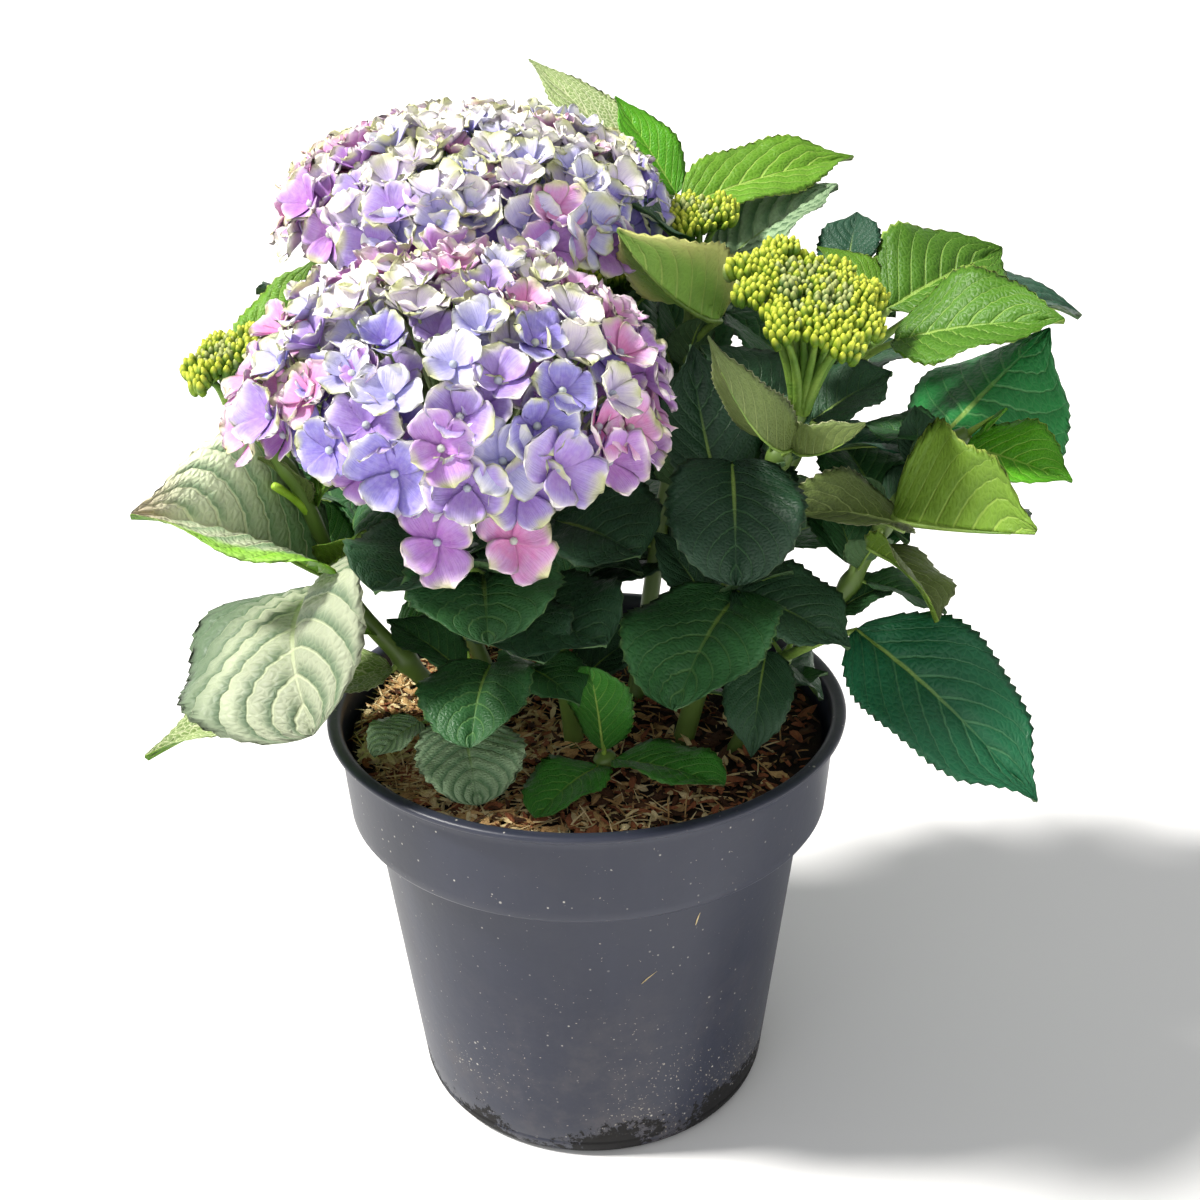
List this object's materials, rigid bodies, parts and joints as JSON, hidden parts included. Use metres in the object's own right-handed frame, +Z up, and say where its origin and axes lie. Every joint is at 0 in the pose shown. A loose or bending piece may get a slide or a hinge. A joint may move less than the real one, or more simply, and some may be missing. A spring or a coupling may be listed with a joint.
{
  "type": "potted hydrangea shrub",
  "caption": "Bushy potted hydrangea: leafy green stems with two domed lilac flower heads and yellow-green bud clusters, in a round grey plastic grower's pot with a deep collar.",
  "frame": {"origin": "centre of the pot's flat foot, on the surface that the pot stands on", "axes": "+Z up, +X to the right and -Y towards the viewer of the side with the lower flower head in front"},
  "size_m": [0.4981, 0.4089, 0.5438],
  "materials": {
    "pot_plastic": "satin, dusty",
    "bark_mix": "rough, damp",
    "green_stem": "satin",
    "petal": "soft matte",
    "bud": "waxy",
    "leaf": "satin, quilted"
  },
  "bodies": {
    "root": {"pot": "pot_plastic", "potting_mix": "bark_mix", "stem_left": "green_stem", "stem_front": "green_stem", "stem_rear": "green_stem", "stem_tall": "green_stem", "stem_back": "green_stem", "stem_right": "green_stem", "stem_high": "green_stem", "stem_low": "green_stem", "stem_northwest": "green_stem", "stem_north": "green_stem", "stem_northeast": "green_stem", "flower_head_front": "petal", "flower_head_rear": "petal", "bud_head_tall": "bud", "bud_head_back": "bud", "bud_head_left": "bud", "bud_head_northwest": "bud", "bud_head_north": "bud", "leaves_left": "leaf", "leaves_front": "leaf", "leaves_rear": "leaf", "leaves_tall": "leaf", "leaves_back": "leaf", "leaves_right": "leaf", "leaves_high": "leaf", "leaves_low": "leaf", "leaves_young": "leaf", "leaves_side": "leaf", "leaves_northwest": "leaf", "leaves_north": "leaf", "leaves_northeast": "leaf"}
  },
  "joints": []
}
